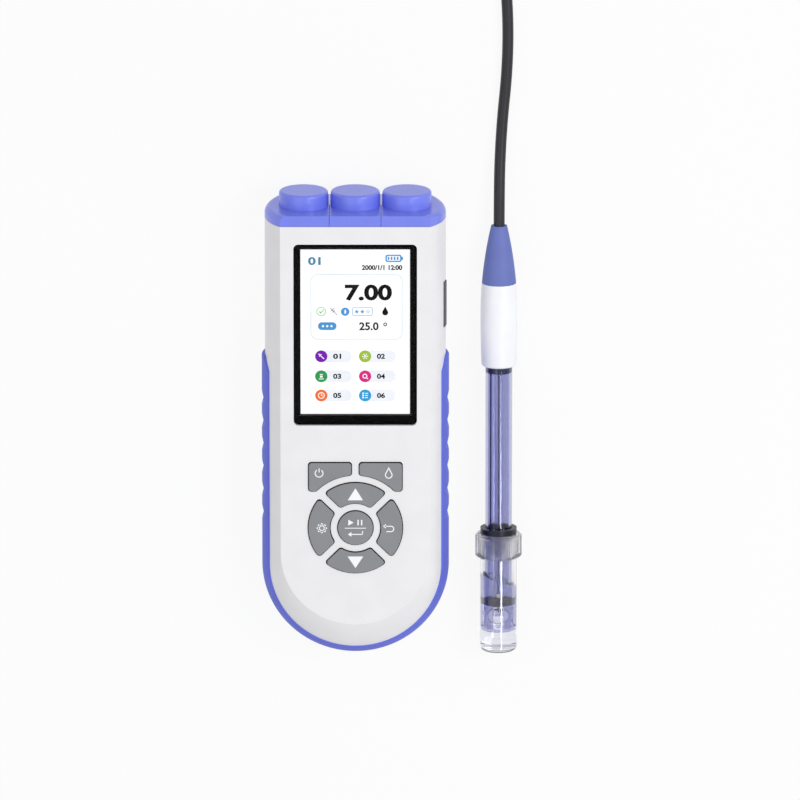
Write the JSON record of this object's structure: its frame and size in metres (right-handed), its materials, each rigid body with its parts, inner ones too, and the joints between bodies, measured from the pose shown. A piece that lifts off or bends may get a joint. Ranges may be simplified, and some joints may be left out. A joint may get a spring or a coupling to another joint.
{
  "type": "portable ph meter",
  "caption": "Handheld pH meter with a colour display, rubber grips, capped jacks and pressing keys, beside its pH electrode in a soaking bottle on a coiled cable.",
  "frame": {"origin": "on the back rest face, on the meter's centre line, 100 mm below the top end of the housing", "axes": "+Z out of the display, +Y along the meter towards the port caps, +X across to the electrode"},
  "size_m": [0.1168, 0.38, 0.0389],
  "materials": {
    "white_case": "fine satin moulded plastic",
    "blue_rubber": "smooth soft moulded rubber",
    "dark_seal": "matt",
    "clear_window": "clear polished",
    "black_ink": "printed black behind the window",
    "screen": "lit colour screen",
    "grey_rubber": "matt",
    "grey_key": "satin with white legends",
    "metal_plate": "nickel plated",
    "screw_steel": "zinc plated",
    "gold_contact": "gold plated",
    "board_green": "solder mask",
    "chip_black": "moulded",
    "dome_steel": "thin snap domes",
    "cell_wrap": "shrink wrap",
    "insulator": "moulded",
    "boot_rubber": "satin moulded rubber",
    "handle_white": "gloss",
    "tube_clear": "clear blue-violet plastic",
    "ceramic": "porous",
    "silver": "drawn wire",
    "plug_dark": "matt",
    "glass": "blown glass",
    "black_rubber": "satin",
    "bottle_clear": "clear moulded plastic",
    "cable_black": "satin sheath",
    "tie_black": "hook strap",
    "plug_rubber": "matt",
    "plug_metal": "nickel plated"
  },
  "bodies": {
    "meter": {"front_shell": "white_case", "back_shell": "white_case", "grip_band": "blue_rubber", "housing_seal": "dark_seal", "display_window": "clear_window", "window_mask": "black_ink", "lcd_panel": "screen", "charging_connector": "metal_plate", "battery_cell": "cell_wrap", "battery_contacts": "metal_plate", "battery_door": "white_case", "door_screws": "screw_steel", "housing_screws": "screw_steel", "main_board": "board_green", "key_domes": "dome_steel", "board_screws": "screw_steel", "board_chips": "chip_black", "input_shield": "metal_plate", "buzzer": "chip_black", "electrode_jack": "metal_plate", "electrode_jack_insulator": "insulator", "electrode_jack_contact": "gold_contact", "temperature_jack": "metal_plate", "temperature_jack_insulator": "insulator", "temperature_jack_pins": "gold_contact", "reference_jack": "metal_plate", "reference_jack_insulator": "insulator", "jack_nuts": "metal_plate"},
    "power_key": {"power_key": "grey_key"},
    "calibrate_key": {"calibrate_key": "grey_key"},
    "up_key": {"up_key": "grey_key"},
    "left_key": {"left_key": "grey_key"},
    "down_key": {"down_key": "grey_key"},
    "right_key": {"right_key": "grey_key"},
    "enter_key": {"enter_key": "grey_key"},
    "left_port_cap": {"left_port_cap": "blue_rubber"},
    "middle_port_cap": {"middle_port_cap": "blue_rubber"},
    "right_port_cap": {"right_port_cap": "blue_rubber"},
    "side_port_cover": {"side_port_cover": "grey_rubber"},
    "electrode": {"cable_boot": "boot_rubber", "electrode_handle": "handle_white", "electrode_tube": "tube_clear", "reference_junction": "ceramic", "reference_wire": "silver", "tube_plug": "plug_dark", "glass_bulb": "glass", "silver_wire": "silver", "stem_holder": "plug_dark", "bottle_seal": "black_rubber", "electrode_cable": "cable_black", "cable_tail": "cable_black", "cable_coil": "cable_black", "cable_tie": "tie_black", "plug_boot": "plug_rubber", "plug_body": "plug_metal", "plug_insulator": "insulator", "plug_pin": "gold_contact"},
    "bottle_nut": {"bottle_nut": "bottle_clear"},
    "storage_bottle": {"storage_bottle": "bottle_clear"},
    "plug_sleeve": {"plug_sleeve": "plug_metal"}
  },
  "joints": [
    {"name": "power_key_press", "type": "slide", "parent": "meter", "child": "power_key", "axis": [0, 0, -1], "range_m": [0, 0.0008], "stiffness_N_per_m": 1500},
    {"name": "calibrate_key_press", "type": "slide", "parent": "meter", "child": "calibrate_key", "axis": [0, 0, -1], "range_m": [0, 0.0008], "stiffness_N_per_m": 1500},
    {"name": "up_key_press", "type": "slide", "parent": "meter", "child": "up_key", "axis": [0, 0, -1], "range_m": [0, 0.0008], "stiffness_N_per_m": 1500},
    {"name": "left_key_press", "type": "slide", "parent": "meter", "child": "left_key", "axis": [0, 0, -1], "range_m": [0, 0.0008], "stiffness_N_per_m": 1500},
    {"name": "down_key_press", "type": "slide", "parent": "meter", "child": "down_key", "axis": [0, 0, -1], "range_m": [0, 0.0008], "stiffness_N_per_m": 1500},
    {"name": "right_key_press", "type": "slide", "parent": "meter", "child": "right_key", "axis": [0, 0, -1], "range_m": [0, 0.0008], "stiffness_N_per_m": 1500},
    {"name": "enter_key_press", "type": "slide", "parent": "meter", "child": "enter_key", "axis": [0, 0, -1], "range_m": [0, 0.0008], "stiffness_N_per_m": 1500},
    {"name": "left_port_cap_pull", "type": "slide", "parent": "meter", "child": "left_port_cap", "axis": [0, 1, 0], "range_m": [0, 0.015]},
    {"name": "middle_port_cap_pull", "type": "slide", "parent": "meter", "child": "middle_port_cap", "axis": [0, 1, 0], "range_m": [0, 0.015]},
    {"name": "right_port_cap_pull", "type": "slide", "parent": "meter", "child": "right_port_cap", "axis": [0, 1, 0], "range_m": [0, 0.015]},
    {"name": "side_port_cover_open", "type": "hinge", "parent": "meter", "child": "side_port_cover", "pos_m": [0.04096, 0.0607, 0.0212], "axis": [0, 1, 0], "range_deg": [0, 90]},
    {"name": "electrode_lift", "type": "slide", "parent": "meter", "child": "electrode", "axis": [0, 0, 1], "range_m": [0, 0.1]},
    {"name": "bottle_nut_turn", "type": "hinge", "parent": "electrode", "child": "bottle_nut", "pos_m": [0.0644, -0.055, 0.01053], "axis": [0, -0.9998, 0.0206], "range_deg": [0, 540]},
    {"name": "storage_bottle_pull", "type": "slide", "parent": "electrode", "child": "storage_bottle", "axis": [0, -0.9998, 0.0206], "range_m": [0, 0.06]},
    {"name": "plug_sleeve_turn", "type": "hinge", "parent": "electrode", "child": "plug_sleeve", "pos_m": [-0.026, 0.266, 0.0073], "axis": [-1, 0, 0], "range_deg": [0, 90]}
  ]
}
